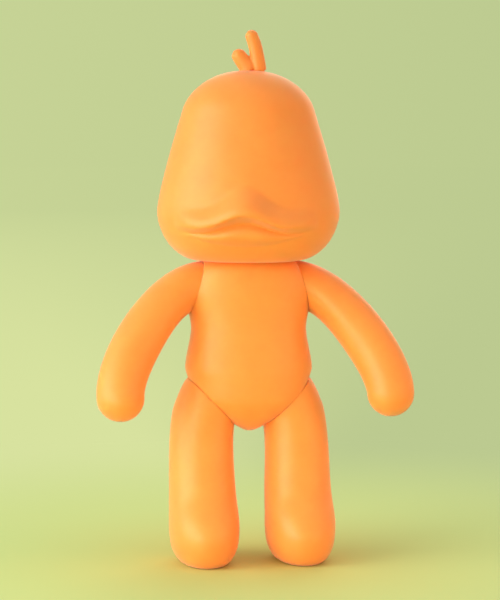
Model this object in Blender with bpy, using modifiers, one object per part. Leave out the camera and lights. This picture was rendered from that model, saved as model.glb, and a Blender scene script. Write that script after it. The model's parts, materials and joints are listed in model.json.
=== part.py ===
"""Jointed soft-vinyl duck figure: hollow castings that swivel on hard plastic plugs.

Metres, +Z up. The figure faces -Y and stands on z = 0, with its origin at the middle of its box.
Right and left are the figure's own, so its right side is at -X.
"""

import math

import bmesh
import bpy
from mathutils import Matrix, Vector

MM = 0.001
RIGHT, LEFT = -1, 1

# Walls and clearances
WALL = 2.5 * MM  # vinyl wall of every hollow casting
CLEARANCE = 0.3 * MM  # between pieces that touch or run in each other
SEAM = 0.35 * MM  # between the two faces of a swivel

# Hip joints, which set how high the torso stands
HIP_HEIGHT = 76.5 * MM
HIP_SPREAD = 18.3 * MM
HIP_TILT = math.radians(44.0)  # below the horizontal
HIP_FACE_RADIUS = 15.9 * MM

# Shoulder joints
SHOULDER_RISE = 55.3 * MM  # above the hip joints
SHOULDER_SPREAD = 25.5 * MM
SHOULDER_TILT = math.radians(15.5)  # above the horizontal
SHOULDER_FACE_RADIUS = 12.6 * MM

# Torso, in half sizes
TORSO_DROP = 14.6 * MM  # lowest point below the hip joints
CROTCH_DEPTH = 11.0 * MM
SEAT_DEPTH = 20.0 * MM
BELLY_RISE = 17.0 * MM
BELLY_WIDTH = 30.6 * MM
BELLY_DEPTH = 21.4 * MM
WAIST_RISE = 34.5 * MM
WAIST_WIDTH = 27.7 * MM
WAIST_DEPTH = 19.6 * MM
CHEST_DEPTH = 19.2 * MM
COLLAR_DEPTH = 16.5 * MM
COLLAR_MARGIN = 0.2 * MM  # top face above the shoulder faces
TORSO_SQUARENESS = 2.4

# Legs and feet, in half sizes, heights above the floor
LEG_SPREAD = 23.3 * MM
THIGH_WIDTH = 15.3 * MM
THIGH_DEPTH = 16.2 * MM
HIP_LEAN = 1.1 * MM  # thigh's middle outside the hip joint
HIP_CAP_WIDTH = 11.9 * MM  # at the high end of the hip face
HIP_CAP_LEAN = 1.6 * MM  # top of the leg inside that section's middle
HIP_CAP_RISE = 8.0 * MM  # and above it
KNEE_FORWARD = 1.5 * MM
INSTEP_HEIGHT = 34.0 * MM
INSTEP_FORWARD = 4.9 * MM
INSTEP_DEPTH = 19.0 * MM
FOOT_WIDTH = 16.5 * MM
FOOT_HEIGHT = 22.0 * MM
FOOT_TOP_FORWARD = 10.4 * MM
FOOT_TOP_DEPTH = 23.0 * MM
TOE_REACH = 36.0 * MM
HEEL_REACH = 13.5 * MM
SOLE_EDGE = 8.0 * MM  # round between sole and side, inwards
SOLE_RISE = 15.0 * MM  # and upwards
LEG_SQUARENESS = 2.2

# Arms: a curved finger in a plane through the shoulder axis
ARM_REACH = 24.4 * MM  # hand centre out along the shoulder axis
ARM_DROP = 63.9 * MM  # hand centre away from the shoulder axis
ARM_ROOT_HANDLE = 19.0 * MM
ARM_HAND_HANDLE = 18.5 * MM
ARM_ROOT_DEPTH = 4.5 * MM  # the curve starts this far inside the face
ARM_ROOT_LIFT = 1.0 * MM  # and this far above the axis, so that it crosses the face at its middle
HAND_RADIUS = 11.3 * MM
ARM_SWING = math.radians(23.5)  # forward at rest

# Head, in half sizes, heights above its own flat base
HEAD_TURN = math.radians(-11.5)  # towards the figure's right at rest
HEAD_BASE_WIDTH = 22.0 * MM
CHEEK_WIDTH = 43.75 * MM
CHEEK_DEPTH = 40.0 * MM
CHEEK_HEIGHT = 25.0 * MM
BROW_WIDTH = 38.9 * MM  # midway between cheeks and crown
CROWN_WIDTH = 32.5 * MM
CROWN_HEIGHT = 69.0 * MM
HEAD_HEIGHT = 91.0 * MM
DOME_TAPER = 0.15  # width lost for each length of rise above the crown
DOME_FULLNESS = 0.88  # 1 is an ellipse, and less is fuller
HEAD_SQUARENESS = 2.15

# Bill, in low relief on the front of the head, heights above the head's base
BILL_WIDTH = 34.0 * MM
BILL_END_POWER = 5  # how late the bill's ends round off
MOUTH_HEIGHT = 19.0 * MM  # of the mouth line at the middle
MOUTH_DROOP = 4.7 * MM  # of its two low points
MOUTH_LOW_POINT = 21.0 * MM  # from the middle
MOUTH_TURN_UP = 1.2 * MM  # from the low points to the corners
MOUTH_CORNER = 29.0 * MM  # from the middle
LOBE_REACH = 5.4 * MM  # upper bill at either side, and its heights above the mouth
LOBE_UNDERSIDE = 3.4 * MM
LOBE_TOP = 13.0 * MM
RIDGE_REACH = 8.0 * MM  # upper bill at the middle
RIDGE_UNDERSIDE = 5.0 * MM
RIDGE_TOP = 19.0 * MM
RIDGE_SPREAD = 12.0 * MM
LOWER_BILL_REACH = 3.0 * MM
LOWER_BILL_FULL = 9.0 * MM  # height from which the lower bill stands out fully
LOWER_BILL_POWER = 1.2  # how soft its edges are
SMILE_HEIGHT = 8.3 * MM  # of the lower bill's bottom edge at the middle
SMILE_END_HEIGHT = 14.1 * MM  # and below the corners of the mouth
BILL_MARGIN = 22.0 * MM  # above the mouth, over which the face's rings follow its line

# Crest: two tufts on an oval pad, pushed into the crown
TALL_TUFT = ((5.1, -0.3), (4.5, 4.5), (3.1, 11.8), (1.6, 16.2))  # mm: across, above the crown
TALL_TUFT_ROOT = 3.6 * MM  # radii
TALL_TUFT_TIP = 3.1 * MM
SHORT_TUFT = ((0.2, -0.3), (-0.3, 1.3), (-2.7, 4.4), (-4.5, 6.8))
SHORT_TUFT_ROOT = 4.2 * MM
SHORT_TUFT_TIP = 3.5 * MM
PAD_CENTRE = 2.2 * MM
PAD_WIDTH = 7.3 * MM
PAD_DEPTH = 4.4 * MM
PAD_SINK = 1.2 * MM
PAD_PROUD = 0.2 * MM
SPIGOT_RADIUS = 2.2 * MM
SPIGOT_BARB = 0.8 * MM
SPIGOT_END = 2.5 * MM

# Swivel hardware, shared by all five joints
NECK_BARREL = 7.8 * MM
SHOULDER_BARREL = 5.4 * MM
HIP_BARREL = 7.2 * MM
BUSH_WALL = 1.5 * MM
FLANGE_LIP = 1.4 * MM
FLANGE_THICKNESS = 1.4 * MM
CATCH = 0.9 * MM  # plug head beyond the bush's bore
HEAD_TAPER = 1.6 * MM
HEAD_LENGTH = 3.2 * MM
RING_SECTION = 0.7 * MM
GROOVE_DEPTH_FROM_FACE = 1.0 * MM
CORE_WALL = 1.4 * MM
SLOT_WIDTH = 1.2 * MM

# Facets: sides of the round hardware, and rings and segments of each form
LATHE_STEPS = 14
RING_SIDES = 5
HOLE_SIDES = 20
CUT_LENGTH = 12.0 * MM
TORSO_FACETS, TORSO_HOLLOW_FACETS = (24, 32), (16, 20)
HEAD_FACETS, HEAD_HOLLOW_FACETS = (52, 60), (16, 20)
ARM_FACETS, ARM_HOLLOW_FACETS = (22, 18), (18, 14)
LEG_FACETS, LEG_HOLLOW_FACETS = (24, 20), (14, 14)
TUFT_FACETS = (10, 10)
FRONT_CROWDING = 0.42  # of the head's segments towards its front, in radians
BILL_RING_MIDDLE, BILL_RING_CROWDING = 0.36, 0.7  # shares of the head's outline, from its base
TIP_DOME, ROOT_CLOSE = 0.28, 0.96  # shares of a finger's rings: its domed tip, and where its root closes
SHARP_EDGE = math.radians(35)

VINYL_ORANGE = (0.93, 0.33, 0.06)
JOINT_GREY = (0.62, 0.60, 0.56)
RING_DARK = (0.10, 0.10, 0.11)


def clear_scene():
    for obj in list(bpy.data.objects):
        bpy.data.objects.remove(obj, do_unlink=True)


def new_collection(name):
    collection = bpy.data.collections.new(name)
    bpy.context.scene.collection.children.link(collection)
    return collection


def new_material(name, colour, roughness):
    material = bpy.data.materials.new(name)
    material.use_nodes = True
    shader = material.node_tree.nodes["Principled BSDF"]
    shader.inputs["Base Color"].default_value = (*colour, 1.0)
    shader.inputs["Roughness"].default_value = roughness
    shader.inputs["Metallic"].default_value = 0.0
    return material


clear_scene()
parts = new_collection("vinyl_duck")
cutters = new_collection("cutters")
vinyl = new_material("orange_vinyl", VINYL_ORANGE, 0.45)
hard_plastic = new_material("joint_plastic", JOINT_GREY, 0.5)
soft_rubber = new_material("friction_rubber", RING_DARK, 0.8)


# Objects

def new_pivot(name, place, turn=0.0):
    """An empty on a joint's axis, which carries the pieces that move about it."""
    pivot = bpy.data.objects.new(name, None)
    pivot.empty_display_size = 10 * MM
    pivot.location = place
    pivot.rotation_euler.z = turn
    parts.objects.link(pivot)
    return pivot


def add_object(name, mesh, pivot, collection, material=None, local=None):
    obj = bpy.data.objects.new(name, mesh)
    if material:
        mesh.materials.append(material)
    mesh.shade_smooth()
    mesh.set_sharp_from_angle(angle=SHARP_EDGE)
    collection.objects.link(obj)
    obj.parent = pivot
    obj.matrix_basis = local or Matrix.Identity(4)
    return obj


def add_cutter(name, mesh, pivot, local=None):
    obj = add_object(name, mesh, pivot, cutters, local=local)
    obj.hide_render = True
    obj.display_type = "WIRE"
    return obj


def apply_boolean(obj, other, operation="DIFFERENCE"):
    modifier = obj.modifiers.new(other.name, "BOOLEAN")
    modifier.operation = operation
    modifier.object = other


def finish_mesh(name, bm):
    bmesh.ops.recalc_face_normals(bm, faces=bm.faces)
    mesh = bpy.data.meshes.new(name)
    bm.to_mesh(mesh)
    bm.free()
    return mesh


# Smooth forms

def smooth_curve(points):
    """A function from 0..1 to a smooth curve through the points, even along its length."""
    points = [Vector(point) for point in points]
    knots = [0.0]
    for before, after in zip(points, points[1:]):
        knots.append(knots[-1] + (after - before).length)

    def slope(i):
        low, high = max(i - 1, 0), min(i + 1, len(points) - 1)
        return (points[high] - points[low]) / (knots[high] - knots[low])

    def at(t):
        length = t * knots[-1]
        i = next((k for k in range(len(points) - 2) if length <= knots[k + 1]), len(points) - 2)
        span = knots[i + 1] - knots[i]
        f = (length - knots[i]) / span
        return (
            (2 * f**3 - 3 * f**2 + 1) * points[i]
            + (f**3 - 2 * f**2 + f) * span * slope(i)
            + (3 * f**2 - 2 * f**3) * points[i + 1]
            + (f**3 - f**2) * span * slope(i + 1)
        )

    return at


def pole_curve(sections):
    """Smooth curve through (z, across, forward, half width, half depth), closed by a pole at each end.

    The curve runs on past each pole as its own mirror image, which makes the ends round.
    """
    def mirrored(section):
        z, across, forward, width, depth = section
        return (z, across, forward, -width, -depth)

    points = [mirrored(sections[1]), *sections, mirrored(sections[-2])]
    whole = smooth_curve(points)
    lengths = [(Vector(b) - Vector(a)).length for a, b in zip(points, points[1:])]
    first, last = lengths[0] / sum(lengths), 1 - lengths[-1] / sum(lengths)
    return lambda t: whole(first + (last - first) * t)


def inset_section(at, t, inset):
    """The section at t, moved in by a wall along the outline's own normal."""
    step = 0.002
    here = at(t)
    ahead = at(min(t + step, 1.0)) - at(max(t - step, 0.0))
    rise, widen, deepen = ahead[0], ahead[3], ahead[4]
    width_run = math.hypot(rise, widen) or 1.0
    depth_run = math.hypot(rise, deepen) or 1.0
    here[0] += inset * widen / width_run
    here[3] = max(here[3] - inset * rise / width_run, 0.0)
    here[4] = max(here[4] - inset * rise / depth_run, 0.0)
    return here


def sphere_grid(rings, segments):
    """A ball's mesh, and for each vertex its place from the bottom pole (0 to 1) and its bearing."""
    bm = bmesh.new()
    bmesh.ops.create_uvsphere(bm, u_segments=segments, v_segments=rings, radius=1.0)
    places = []
    for vert in bm.verts:
        height = math.acos(max(-1.0, min(1.0, -vert.co.z))) / math.pi
        places.append((vert, height, math.atan2(vert.co.y, vert.co.x)))
    return bm, places


def rounded(value, squareness):
    return math.copysign(abs(value) ** (2.0 / squareness), value)


def stacked_form(at, facets, squareness, inset=0.0, side=1, bearing=None):
    """A closed form whose level sections follow a pole curve. side mirrors it across x."""
    bm, places = sphere_grid(*facets)
    for vert, t, angle in places:
        z, across, forward, width, depth = inset_section(at, t, inset)
        angle = bearing(angle) if bearing else angle
        x = across + width * rounded(math.cos(angle), squareness)
        y = forward + depth * rounded(math.sin(angle), squareness)
        vert.co = (side * x, y, z)
    return bm


def finger_form(centreline, root_radius, tip_radius, facets, inset, flat_normal):
    """A round finger with a domed tip along a curve from 0 (root) to 1 (the tip's centre)."""
    bm, places = sphere_grid(*facets)
    step = 0.001
    for vert, t, angle in places:
        if t < TIP_DOME:
            along, roll = 1.0, (1 - t / TIP_DOME) * math.pi / 2
        else:
            along, roll = max(0.0, 1 - (t - TIP_DOME) / (ROOT_CLOSE - TIP_DOME)), 0.0
        tangent = (centreline(min(along + step, 1)) - centreline(max(along - step, 0))).normalized()
        level = flat_normal.normalized()
        across = level.cross(tangent)
        radius = root_radius + (tip_radius - root_radius) * along - inset
        spread = radius * (math.cos(roll) if t < ROOT_CLOSE else (1 - t) / (1 - ROOT_CLOSE))
        around = across * math.cos(angle) + level * math.sin(angle)
        vert.co = centreline(along) + tangent * radius * math.sin(roll) + around * spread
    bmesh.ops.remove_doubles(bm, verts=bm.verts, dist=0.01 * MM)
    return bm


def flatten_below(bm, level):
    """Presses what lies under a level up to it, which leaves a flat base."""
    for vert in bm.verts:
        vert.co.z = max(vert.co.z, level)


def cut_flat(bm, place, normal):
    """Cuts away what lies on the normal's side of a plane, and closes the cut with a flat face."""
    geometry = [*bm.verts, *bm.edges, *bm.faces]
    bmesh.ops.bisect_plane(
        bm, geom=geometry, dist=0.001 * MM, plane_co=place, plane_no=normal, clear_outer=True
    )
    bmesh.ops.holes_fill(bm, edges=[e for e in bm.edges if e.is_boundary], sides=0)


def bezier(corners):
    a, b, c, d = (Vector(corner) for corner in corners)
    return lambda t: (
        a * (1 - t) ** 3 + b * 3 * t * (1 - t) ** 2 + c * 3 * t**2 * (1 - t) + d * t**3
    )


def axis_frame(place, axis):
    """A matrix at a joint's face whose +Z is the joint's axis, pointing out of the torso."""
    turn = Vector(axis).to_track_quat("Z", "Y").to_matrix().to_4x4()
    return Matrix.Translation(place) @ turn


def drill(name, frame, radius, pivot):
    """A round cutter through a face, long enough for the wall on either side of it."""
    bm = bmesh.new()
    bmesh.ops.create_cone(
        bm, cap_ends=True, segments=HOLE_SIDES, radius1=radius, radius2=radius, depth=CUT_LENGTH
    )
    return add_cutter(name, finish_mesh(name, bm), pivot, frame)


def hollow(shell, name, inner, pivot):
    apply_boolean(shell, add_cutter(f"{name}_hollow", finish_mesh(f"{name}_hollow", inner), pivot))


# Swivel hardware

class Swivel:
    """Sizes of one joint's plug, bush and ring, all from the plug's barrel."""

    def __init__(self, barrel):
        self.barrel = barrel
        self.bore = barrel + CLEARANCE
        self.bush = self.bore + BUSH_WALL
        self.torso_hole = self.bush + CLEARANCE
        self.bush_flange = self.torso_hole + FLANGE_LIP
        self.bush_end = -(WALL + CLEARANCE + FLANGE_THICKNESS)
        self.limb_hole = barrel + CLEARANCE
        self.plug_flange = self.limb_hole + FLANGE_LIP
        self.ring_radius = self.bore - CLEARANCE - RING_SECTION
        self.groove = self.ring_radius - RING_SECTION - CLEARANCE
        self.groove_top = -GROOVE_DEPTH_FROM_FACE
        self.groove_end = self.groove_top - 2 * (RING_SECTION + CLEARANCE)
        self.vent = self.groove - CORE_WALL


def lathe(name, profile, frame, pivot, material):
    """A turned ring from a closed profile of (radius, height), outer side first, going down."""
    bm = bmesh.new()
    verts = [bm.verts.new((radius, 0.0, height)) for radius, height in profile]
    for before, after in zip(verts, verts[1:] + verts[:1]):
        bm.edges.new((before, after))
    mesh = bpy.data.meshes.new(name)
    bm.to_mesh(mesh)
    bm.free()
    obj = add_object(name, mesh, pivot, parts, material, frame)
    screw = obj.modifiers.new("Turn", "SCREW")
    screw.steps = screw.render_steps = LATHE_STEPS
    screw.use_merge_vertices = True
    screw.merge_threshold = 0.001 * MM
    screw.use_smooth_shade = False
    return obj


def add_bush(name, size, frame, pivot):
    seat = -(WALL + CLEARANCE)
    profile = [
        (size.bush, 0.0),
        (size.bush, seat),
        (size.bush_flange, seat),
        (size.bush_flange, size.bush_end),
        (size.bore, size.bush_end),
        (size.bore, 0.0),
    ]
    lathe(f"{name}_bush", profile, frame, pivot, hard_plastic)


def add_plug(name, size, frame, pivot):
    seat = SEAM + WALL + CLEARANCE
    catch = size.bush_end - CLEARANCE
    head = size.bore + CATCH
    profile = [
        (size.plug_flange, seat + FLANGE_THICKNESS),
        (size.plug_flange, seat),
        (size.barrel, seat),
        (size.barrel, size.groove_top),
        (size.groove, size.groove_top),
        (size.groove, size.groove_end),
        (size.barrel, size.groove_end),
        (size.barrel, catch),
        (head, catch),
        (head - HEAD_TAPER, catch - HEAD_LENGTH),
        (size.vent, catch - HEAD_LENGTH),
        (size.vent, seat + FLANGE_THICKNESS),
    ]
    plug = lathe(f"{name}_plug", profile, frame, pivot, hard_plastic)
    slot_top = size.groove_end - CLEARANCE
    slot_end = catch - 2 * HEAD_LENGTH
    for turn in range(2):
        bm = bmesh.new()
        bmesh.ops.create_cube(bm, size=1.0)
        bmesh.ops.scale(bm, verts=bm.verts, vec=(4 * head, SLOT_WIDTH, slot_top - slot_end))
        spin = Matrix.Rotation(turn * math.pi / 2, 4, "Z")
        local = frame @ spin @ Matrix.Translation((0, 0, (slot_top + slot_end) / 2))
        slot = f"{name}_slot_{turn + 1}"
        apply_boolean(plug, add_cutter(slot, finish_mesh(slot, bm), pivot, local))


def add_friction_ring(name, size, frame, pivot):
    bpy.ops.mesh.primitive_torus_add(
        major_segments=LATHE_STEPS,
        minor_segments=RING_SIDES,
        major_radius=size.ring_radius,
        minor_radius=RING_SECTION,
    )
    made = bpy.context.object
    mesh = made.data
    bpy.data.objects.remove(made)
    middle = Matrix.Translation((0, 0, (size.groove_top + size.groove_end) / 2))
    add_object(f"{name}_friction_ring", mesh, pivot, parts, soft_rubber, frame @ middle)


def add_swivel(name, size, torso_frame, torso_pivot, limb_frame, limb_pivot):
    """The bush stays with the torso. The plug and its friction ring turn with the limb."""
    add_bush(name, size, torso_frame, torso_pivot)
    add_plug(name, size, limb_frame, limb_pivot)
    add_friction_ring(name, size, limb_frame, limb_pivot)


# Joint places, in the figure's frame

def side_axis(side, tilt):
    return Vector((side * math.cos(tilt), 0.0, math.sin(tilt)))


def hip_centre(side):
    return Vector((side * HIP_SPREAD, 0.0, HIP_HEIGHT))


def shoulder_centre(side):
    return Vector((side * SHOULDER_SPREAD, 0.0, HIP_HEIGHT + SHOULDER_RISE))


def face_end(centre, tilt, radius, way):
    """Where the outline of a tilted face ends, above (way 1) or below (-1), as (across, height)."""
    return (
        centre.x - way * radius * math.sin(tilt),
        centre.z + way * radius * math.cos(tilt),
    )


torso_top = face_end(shoulder_centre(LEFT), SHOULDER_TILT, SHOULDER_FACE_RADIUS, 1)[1] + COLLAR_MARGIN
neck_centre = Vector((0.0, 0.0, torso_top))
torso_centre = Vector((0.0, 0.0, HIP_HEIGHT))
neck_size = Swivel(NECK_BARREL)
shoulder_size = Swivel(SHOULDER_BARREL)
hip_size = Swivel(HIP_BARREL)
local_neck = axis_frame((0, 0, 0), (0, 0, 1))


# Torso

def width_at_face(across, radius, depth):
    """Half width that a section needs for a cut at this distance across to be two radii wide."""
    share = 1 - min(radius / depth, 0.98) ** TORSO_SQUARENESS
    return across / share ** (1 / TORSO_SQUARENESS)


def torso_sections():
    hip, shoulder = hip_centre(LEFT), shoulder_centre(LEFT)
    hip_low = face_end(hip, -HIP_TILT, HIP_FACE_RADIUS, -1)
    hip_high = face_end(hip, -HIP_TILT, HIP_FACE_RADIUS, 1)
    arm_low = face_end(shoulder, SHOULDER_TILT, SHOULDER_FACE_RADIUS, -1)
    arm_high = face_end(shoulder, SHOULDER_TILT, SHOULDER_FACE_RADIUS, 1)
    hip_width = width_at_face(hip.x, HIP_FACE_RADIUS, SEAT_DEPTH)
    shoulder_width = width_at_face(shoulder.x, SHOULDER_FACE_RADIUS, CHEST_DEPTH)
    outline = [
        (HIP_HEIGHT - TORSO_DROP, 0.0, 0.0),
        (hip_low[1], hip_low[0], CROTCH_DEPTH),
        (hip.z, hip_width, SEAT_DEPTH),
        (hip_high[1], hip_high[0], BELLY_DEPTH),
        (HIP_HEIGHT + BELLY_RISE, BELLY_WIDTH, BELLY_DEPTH),
        (HIP_HEIGHT + WAIST_RISE, WAIST_WIDTH, WAIST_DEPTH),
        (arm_low[1], arm_low[0], CHEST_DEPTH),
        (shoulder.z, shoulder_width, CHEST_DEPTH),
        (arm_high[1], arm_high[0], COLLAR_DEPTH),
        (torso_top + 2 * WALL, 0.0, 0.0),
    ]
    return [(z - torso_centre.z, 0.0, 0.0, width, depth) for z, width, depth in outline]


def torso_form(facets, inset):
    bm = stacked_form(pole_curve(torso_sections()), facets, TORSO_SQUARENESS, inset)
    cut_flat(bm, neck_centre - torso_centre - Vector((0, 0, inset)), (0, 0, 1))
    for side in (RIGHT, LEFT):
        for centre, tilt in ((hip_centre(side), -HIP_TILT), (shoulder_centre(side), SHOULDER_TILT)):
            axis = side_axis(side, tilt)
            cut_flat(bm, centre - torso_centre - axis * inset, axis)
    return bm


def build_torso():
    pivot = new_pivot("torso_centre", torso_centre)
    mesh = finish_mesh("torso_shell", torso_form(TORSO_FACETS, 0.0))
    shell = add_object("torso_shell", mesh, pivot, parts, vinyl)
    hollow(shell, "torso", torso_form(TORSO_HOLLOW_FACETS, WALL), pivot)
    return pivot, shell


# Head

def head_sections():
    """Rounded base, tapering cheeks and a domed crown."""
    depth_share = CHEEK_DEPTH / CHEEK_WIDTH
    widths = [(0.0, 0.0), (0.0, HEAD_BASE_WIDTH / 2), (0.0, HEAD_BASE_WIDTH)]
    for step in range(1, 5):
        angle = step * math.pi / 8
        swell = HEAD_BASE_WIDTH + (CHEEK_WIDTH - HEAD_BASE_WIDTH) * math.sin(angle)
        widths.append((CHEEK_HEIGHT * (1 - math.cos(angle)), swell))
    widths.append(((CHEEK_HEIGHT + CROWN_HEIGHT) / 2, BROW_WIDTH))
    for step in range(6):
        angle = step * math.pi / 10
        rise = (HEAD_HEIGHT - CROWN_HEIGHT) * math.sin(angle)
        dome = max(math.cos(angle), 0.0) ** DOME_FULLNESS
        widths.append((CROWN_HEIGHT + rise, (CROWN_WIDTH - DOME_TAPER * rise) * dome))
    return [(z, 0.0, 0.0, width, width * depth_share) for z, width in widths]


def swell(distance, rise, fall):
    """0 at no distance, 1 at the rise, and smoothly back to 0 at the fall."""
    if distance <= 0 or distance >= fall:
        return 0.0
    if distance < rise:
        f = distance / rise
        return f * f * (3 - 2 * f)
    f = (distance - rise) / (fall - rise)
    return (1 - f * f) ** 2


def mouth_line(x):
    """Height of the mouth: high in the middle, low on either side, turned up at the corners."""
    droop = MOUTH_DROOP * math.sin(math.pi / 2 * min(abs(x) / MOUTH_LOW_POINT, 1.0)) ** 2
    past = max(abs(x) - MOUTH_LOW_POINT, 0.0) / (BILL_WIDTH - MOUTH_LOW_POINT)
    return MOUTH_HEIGHT - droop + MOUTH_TURN_UP * min(past, 1.0) ** 2


def smile_line(x):
    """Height of the lower bill's bottom edge."""
    return SMILE_HEIGHT + (SMILE_END_HEIGHT - SMILE_HEIGHT) * (x / MOUTH_CORNER) ** 2


def bill_relief(x, z):
    """How far the bill stands out of the face at this place on the front of the head."""
    ends = max(1 - (abs(x) / BILL_WIDTH) ** BILL_END_POWER, 0.0)
    middle = math.exp(-((x / RIDGE_SPREAD) ** 2))
    reach = LOBE_REACH + (RIDGE_REACH - LOBE_REACH) * middle
    underside = LOBE_UNDERSIDE + (RIDGE_UNDERSIDE - LOBE_UNDERSIDE) * middle
    top = LOBE_TOP + (RIDGE_TOP - LOBE_TOP) * middle
    below = mouth_line(x) - z
    relief = ends * reach * swell(-below, underside, top)
    height = mouth_line(x) - smile_line(x)
    if 0 < below < height:
        share = below / height
        full = min(height / LOWER_BILL_FULL, 1.0)
        relief += ends * full * LOWER_BILL_REACH * (4 * share * (1 - share)) ** LOWER_BILL_POWER
    return relief


def add_bill(bm):
    """Bends the front's rings to the mouth line, and moves them out to the bill's relief."""
    level = MOUTH_HEIGHT - MOUTH_DROOP / 2
    for vert in bm.verts:
        x, y, z = vert.co
        if y < 0:
            front = min(1.0, -y / (CHEEK_DEPTH / 2))
            reach = level if z < level else BILL_MARGIN
            follow = max(0.0, 1 - abs(z - level) / reach)
            z += front * (mouth_line(x) - level) * follow
            vert.co = (x, y - front * bill_relief(x, z), z)


def face_forward(angle):
    """Crowds the meridians towards the front, where the bill needs them."""
    return angle - FRONT_CROWDING * math.cos(angle)


def crowd_to_bill(t):
    """Crowds the rings towards the bill's height on the head's outline."""
    turn = 2 * math.pi
    shift = math.sin(turn * (t - BILL_RING_MIDDLE)) + math.sin(turn * BILL_RING_MIDDLE)
    return t - BILL_RING_CROWDING / turn * shift


def head_form():
    outline = pole_curve(head_sections())
    bm = stacked_form(
        lambda t: outline(crowd_to_bill(t)), HEAD_FACETS, HEAD_SQUARENESS, bearing=face_forward
    )
    add_bill(bm)
    bmesh.ops.triangulate(bm, faces=bm.faces, quad_method="SHORT_EDGE")
    flatten_below(bm, 0.0)
    return bm


def head_hollow():
    """The inside keeps the plain head's outline, so the bill is thick vinyl."""
    bm = stacked_form(pole_curve(head_sections()), HEAD_HOLLOW_FACETS, HEAD_SQUARENESS, WALL)
    flatten_below(bm, WALL)
    return bm


def build_head():
    pivot = new_pivot("neck_pivot", neck_centre, HEAD_TURN)
    base = Vector((0.0, 0.0, SEAM))
    outer, inner = head_form(), head_hollow()
    for bm in (outer, inner):
        bmesh.ops.translate(bm, verts=bm.verts, vec=base)
    shell = add_object("head_shell", finish_mesh("head_shell", outer), pivot, parts, vinyl)
    hollow(shell, "head", inner, pivot)
    apply_boolean(shell, drill("head_neck_hole", local_neck, neck_size.limb_hole, pivot))
    build_crest(pivot, shell, base.z + HEAD_HEIGHT)
    return pivot


# Crest

def oval(name, half_width, half_depth, bottom, top, pivot):
    bm = bmesh.new()
    bmesh.ops.create_cone(bm, cap_ends=True, segments=HOLE_SIDES, radius1=1, radius2=1, depth=1)
    bmesh.ops.scale(bm, verts=bm.verts, vec=(half_width, half_depth, top - bottom))
    place = Matrix.Translation((PAD_CENTRE, 0, (top + bottom) / 2))
    return add_cutter(name, finish_mesh(name, bm), pivot, place)


def tuft_mesh(name, points, root_radius, tip_radius, crown):
    line = smooth_curve([(x * MM, 0.0, crown + z * MM) for x, z in points])
    bm = finger_form(line, root_radius, tip_radius, TUFT_FACETS, 0.0, Vector((0, 1, 0)))
    return finish_mesh(name, bm)


def build_crest(pivot, shell, crown):
    """A pad sunk in a pocket of the crown, its two tufts, and a barbed spigot through the wall."""
    floor = crown - PAD_SINK
    apply_boolean(
        shell,
        oval(
            "crest_pocket",
            PAD_WIDTH + CLEARANCE,
            PAD_DEPTH + CLEARANCE,
            floor - CLEARANCE,
            crown + PAD_SINK,
            pivot,
        ),
    )
    hole = Matrix.Translation((PAD_CENTRE, 0, crown))
    apply_boolean(shell, drill("crest_hole", hole, SPIGOT_RADIUS + CLEARANCE, pivot))
    mesh = tuft_mesh("crest", TALL_TUFT, TALL_TUFT_ROOT, TALL_TUFT_TIP, crown)
    crest = add_object("crest", mesh, pivot, parts, vinyl)
    mesh = tuft_mesh("short_tuft", SHORT_TUFT, SHORT_TUFT_ROOT, SHORT_TUFT_TIP, crown)
    short = add_cutter("short_tuft", mesh, pivot)
    pad = oval("crest_pad", PAD_WIDTH, PAD_DEPTH, floor, crown + PAD_PROUD, pivot)
    barb_top = crown - WALL - 2 * CLEARANCE
    barb_end = barb_top - SPIGOT_END
    shank_end = (barb_top + barb_end) / 2
    shank = oval("crest_shank", SPIGOT_RADIUS, SPIGOT_RADIUS, shank_end, floor + PAD_SINK / 2, pivot)
    barb_radius = SPIGOT_RADIUS + SPIGOT_BARB
    barb = oval("crest_barb", barb_radius, barb_radius, barb_end, barb_top, pivot)
    for piece in (short, pad, shank, barb):
        apply_boolean(crest, piece, "UNION")


# Arms

def arm_line(side):
    """The arm's centreline from just inside the shoulder face to the hand, about the joint."""
    axis = side_axis(side, SHOULDER_TILT)
    down = Vector((side * math.sin(SHOULDER_TILT), 0.0, -math.cos(SHOULDER_TILT)))
    hang = down * math.cos(ARM_SWING) + Vector((0, -1, 0)) * math.sin(ARM_SWING)
    plumb = hang * math.cos(SHOULDER_TILT) - axis * math.sin(SHOULDER_TILT)
    root = axis * -ARM_ROOT_DEPTH - hang * ARM_ROOT_LIFT
    hand = axis * ARM_REACH + hang * ARM_DROP
    level = axis * math.cos(SHOULDER_TILT) + hang * math.sin(SHOULDER_TILT)
    corners = (root, root + level * ARM_ROOT_HANDLE, hand - plumb * ARM_HAND_HANDLE, hand)
    return bezier(corners), axis, axis.cross(hang)


def arm_form(side, facets, inset):
    line, axis, level = arm_line(side)
    bm = finger_form(line, SHOULDER_FACE_RADIUS, HAND_RADIUS, facets, inset, level)
    cut_flat(bm, axis * (SEAM + inset), -axis)
    return bm


def build_arm(side, name):
    pivot = new_pivot(f"{name}_shoulder_pivot", shoulder_centre(side))
    frame = axis_frame((0, 0, 0), side_axis(side, SHOULDER_TILT))
    mesh = finish_mesh(f"{name}_arm_shell", arm_form(side, ARM_FACETS, 0.0))
    shell = add_object(f"{name}_arm_shell", mesh, pivot, parts, vinyl)
    hollow(shell, f"{name}_arm", arm_form(side, ARM_HOLLOW_FACETS, WALL), pivot)
    apply_boolean(shell, drill(f"{name}_arm_hole", frame, shoulder_size.limb_hole, pivot))
    return pivot, frame


# Legs

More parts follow.
